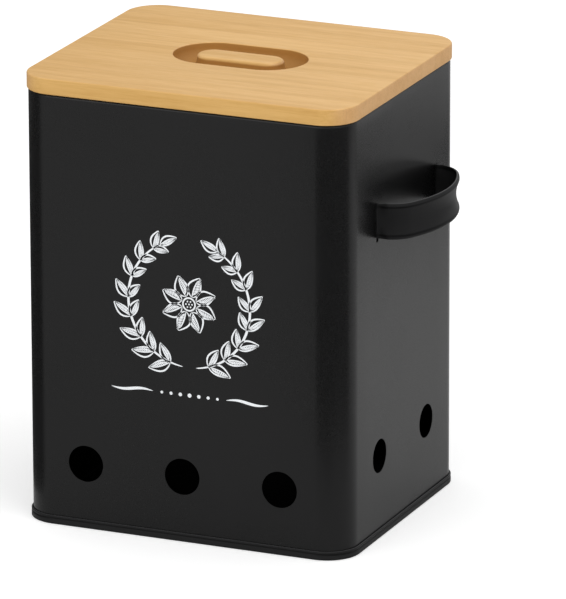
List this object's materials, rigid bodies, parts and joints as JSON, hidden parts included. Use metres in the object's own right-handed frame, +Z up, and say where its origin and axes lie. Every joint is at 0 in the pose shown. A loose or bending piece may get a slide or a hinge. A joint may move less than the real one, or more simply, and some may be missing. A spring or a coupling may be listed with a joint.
{
  "type": "potato storage bin",
  "caption": "Upright sheet metal storage bin with rounded corners, vent holes near the foot, a strap handle on each side and a lift-off bamboo lid with a milled finger grip.",
  "frame": {"origin": "middle of the footprint, on the surface that the bin stands on", "axes": "+Z up, +X to the bin's own left as its front is seen, so to the viewer's right, and the front faces -Y"},
  "size_m": [0.23, 0.157, 0.24],
  "materials": {
    "can_coating": "fine-textured matt black powder coat",
    "base_coating": "matt black powder coat",
    "handle_coating": "satin black powder coat",
    "bamboo": "sanded and oiled bamboo"
  },
  "bodies": {
    "bin": {"can_wall": "can_coating", "base_pan": "base_coating", "handle_right": "handle_coating", "handle_left": "handle_coating"},
    "lid": {"lid": "bamboo"}
  },
  "joints": [
    {"name": "lid_lift", "type": "slide", "parent": "bin", "child": "lid", "axis": [0, 0, 1], "range_m": [0, 0.12]}
  ]
}
